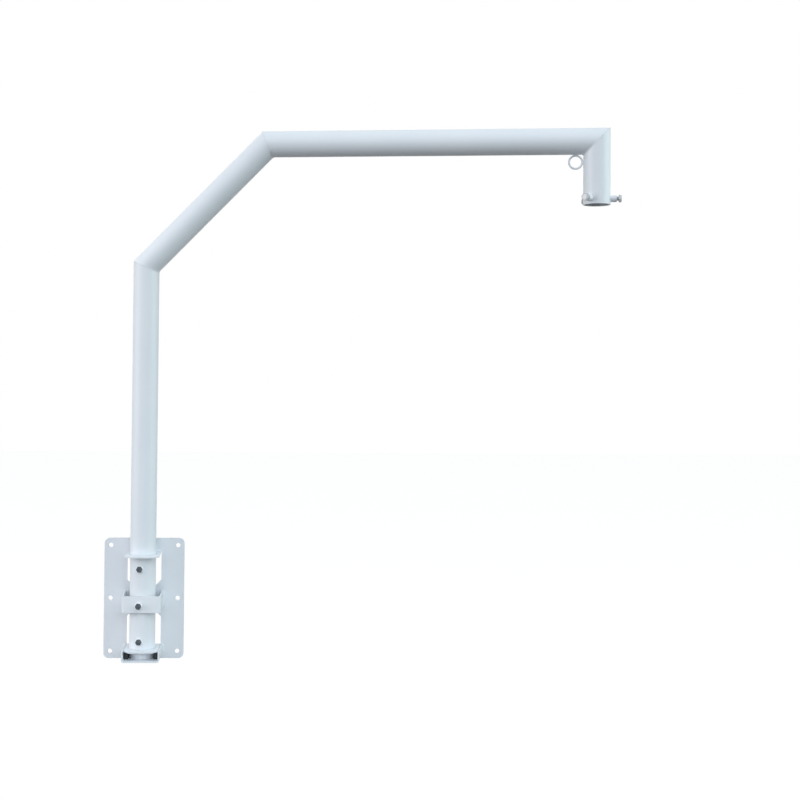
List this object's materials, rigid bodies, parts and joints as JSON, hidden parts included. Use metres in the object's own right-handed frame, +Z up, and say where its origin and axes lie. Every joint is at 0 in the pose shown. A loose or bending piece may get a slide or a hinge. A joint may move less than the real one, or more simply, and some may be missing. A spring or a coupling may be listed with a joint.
{
  "type": "parapet mount bracket",
  "caption": "Cranked pipe arm clamped upright in a folded wall plate, with a short vertical drop at its far end that a hanging housing plugs on to.",
  "frame": {"origin": "centre of the wall plate's back face", "axes": "+X along the plate to the side that the arm reaches to, +Y into the wall, +Z up along the mast; the arm stands swung 8 degrees forward of +X"},
  "size_m": [0.9354, 0.1799, 0.9869],
  "materials": {
    "white_paint": "white powder coat, satin, with a faint cool cast",
    "painted_weld": "weld bead under white powder coat",
    "dark_bolt": "blackened steel, slightly oily",
    "bright_zinc": "bright zinc plate",
    "black_rubber": "matt black moulded rubber"
  },
  "bodies": {
    "root": {"base_plate": "white_paint", "mast_strap": "white_paint", "seat_channel": "white_paint", "foot_pads": "black_rubber", "mast_tube": "white_paint", "slant_tube": "white_paint", "arm_tube": "white_paint", "drop_tube": "white_paint", "lower_elbow_weld": "painted_weld", "upper_elbow_weld": "painted_weld", "drop_corner_weld": "painted_weld", "strap_welds": "painted_weld", "seat_welds": "painted_weld", "safety_ring": "white_paint", "ring_welds": "painted_weld", "mast_bolts": "dark_bolt", "mast_washers": "white_paint", "mast_rivet_nuts": "bright_zinc", "lock_bosses": "white_paint", "lock_bolts": "bright_zinc"}
  },
  "joints": []
}
